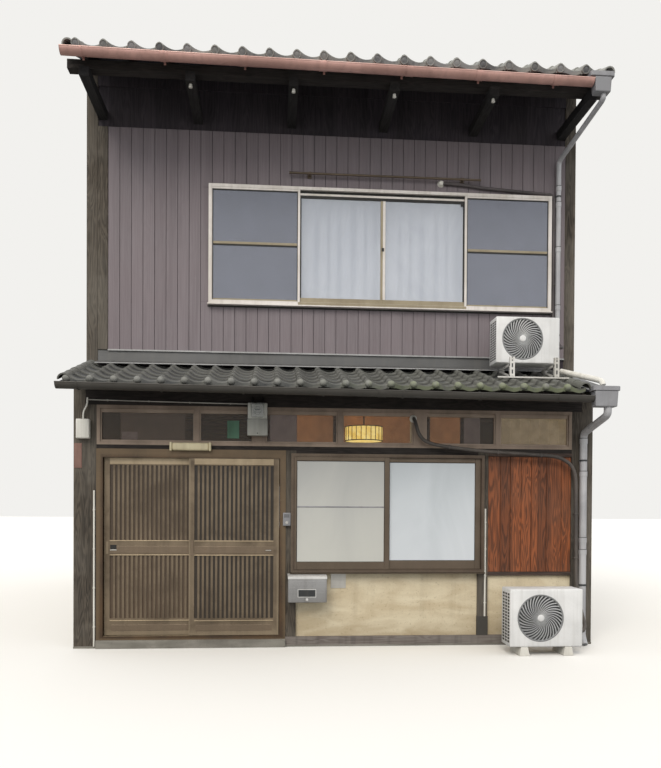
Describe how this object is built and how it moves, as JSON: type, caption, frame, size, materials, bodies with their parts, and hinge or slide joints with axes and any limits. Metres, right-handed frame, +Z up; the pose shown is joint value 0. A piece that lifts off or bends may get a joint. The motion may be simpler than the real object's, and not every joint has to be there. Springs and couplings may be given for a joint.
{
  "type": "machiya townhouse",
  "caption": "Narrow two-storey wooden machiya townhouse: tiled pent roof over a sliding lattice entrance and a window, upper storey of boards, tiled gable roof.",
  "frame": {"origin": "on the ground, in the middle of the front line of the ground-floor wall", "axes": "+X to the right along the street front as seen from the street, +Y into the house, +Z up"},
  "size_m": [5.272, 9.4319, 7.959],
  "materials": {
    "concrete": "rough, damp-stained",
    "sill_timber": "weathered, purple-brown",
    "dark_timber": "weathered, dark red-brown stain",
    "plaster": "matt ochre render",
    "cedar": "charred and brushed boards",
    "earth_wall": "plain grey render",
    "bronze_aluminium": "satin bronze",
    "dark_glass": "smoked by the dark room behind",
    "pale_metal": "satin",
    "grey_aluminium": "satin grey-brown",
    "frosted_glass": "frosted",
    "inner_timber": "plain",
    "siding": "weathered grey-purple boards",
    "beige_aluminium": "satin beige",
    "clear_glass": "clear",
    "curtain": "soft, pale",
    "pantile": "smoke-grey clay, mossy on the pent roof",
    "sheet_metal": "weathered grey sheet",
    "gutter_plastic": "faded brown",
    "grey_plastic": "faded grey",
    "unit_casing": "ivory paint",
    "white_steel": "white paint",
    "hose_lagging": "taped lagging",
    "meter_case": "grey",
    "box_metal": "dull silver",
    "lamp_shade": "ribbed shade, lit",
    "cream_plastic": "aged cream"
  },
  "bodies": {
    "house": {"ground_slab": "concrete", "front_sill": "sill_timber", "front_posts": "dark_timber", "front_beams": "dark_timber", "front_plaster": "plaster", "cedar_panel": "cedar", "party_wall_left": "earth_wall", "party_wall_right": "earth_wall", "door_frame": "bronze_aluminium", "window_lining": "dark_timber", "window_frame": "grey_aluminium", "window_sashes": "grey_aluminium", "transom_frames": "grey_aluminium", "front_glass": "frosted_glass", "floor_beams": "inner_timber", "upper_floor": "inner_timber", "upper_wall": "dark_timber", "upper_cladding": "siding", "upper_window_frame": "beige_aluminium", "upper_window_sashes": "beige_aluminium", "upper_window_glass": "clear_glass", "upper_curtains": "curtain", "rear_wall_lower": "plaster", "rear_wall_upper": "siding", "rear_window_frames": "beige_aluminium", "rear_window_glass": "frosted_glass", "rafters": "dark_timber", "roof_boards": "dark_timber", "pent_tiles": "pantile", "pent_flashing": "sheet_metal", "eave_arms": "dark_timber", "purlins": "dark_timber", "roof_tiles": "pantile", "roof_ridge": "pantile", "gutters": "gutter_plastic", "downpipes": "grey_plastic", "unit_lower": "unit_casing", "unit_upper": "unit_casing", "unit_stand": "white_steel", "hoses": "hose_lagging", "electric_meter": "meter_case", "mailbox": "box_metal", "ceiling_lamp": "lamp_shade", "wall_fittings": "cream_plastic"},
    "door_left": {"door_left": "bronze_aluminium", "door_left_glass": "dark_glass"},
    "door_right": {"door_right": "bronze_aluminium", "door_right_glass": "dark_glass", "door_right_handle": "pale_metal"}
  },
  "joints": [
    {"name": "left_door_slide", "type": "slide", "parent": "house", "child": "door_left", "axis": [1, 0, 0], "range_m": [0, 0.834]},
    {"name": "right_door_slide", "type": "slide", "parent": "house", "child": "door_right", "axis": [1, 0, 0], "range_m": [-0.834, 0]}
  ]
}
